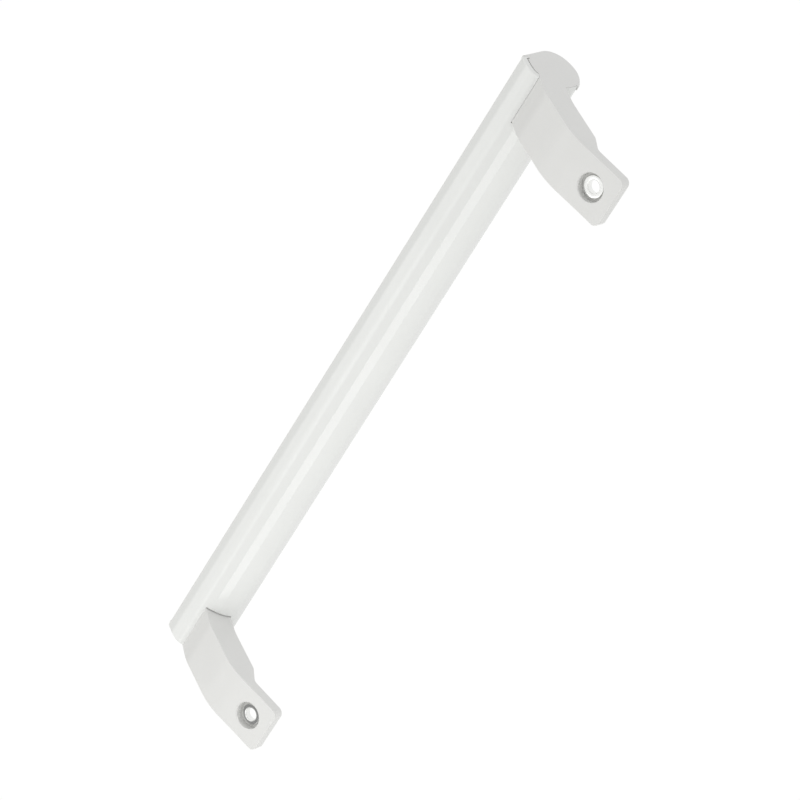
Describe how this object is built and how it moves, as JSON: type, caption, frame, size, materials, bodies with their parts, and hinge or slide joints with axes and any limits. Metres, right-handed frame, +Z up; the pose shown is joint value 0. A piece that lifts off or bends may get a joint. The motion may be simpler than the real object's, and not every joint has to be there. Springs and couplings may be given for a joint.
{
  "type": "refrigerator door handle",
  "caption": "White plastic refrigerator door handle: a hollow egg-section bar between moulded end brackets with curved legs and flat screw tabs.",
  "frame": {"origin": "on the seat of the two tabs, on the line of the two screw holes, half way between them", "axes": "+Z up along the bar, +X out of the side of the door towards the screw heads, +Y from the bar back along the side of the door"},
  "size_m": [0.0429, 0.0782, 0.345],
  "materials": {
    "bar_plastic": "white, extruded, satin gloss",
    "bracket_plastic": "white, moulded, fine satin",
    "bush_steel": "bright zinc plated"
  },
  "bodies": {
    "root": {"grip_bar": "bar_plastic", "upper_bracket": "bracket_plastic", "lower_bracket": "bracket_plastic", "upper_bush": "bush_steel", "lower_bush": "bush_steel"}
  },
  "joints": []
}
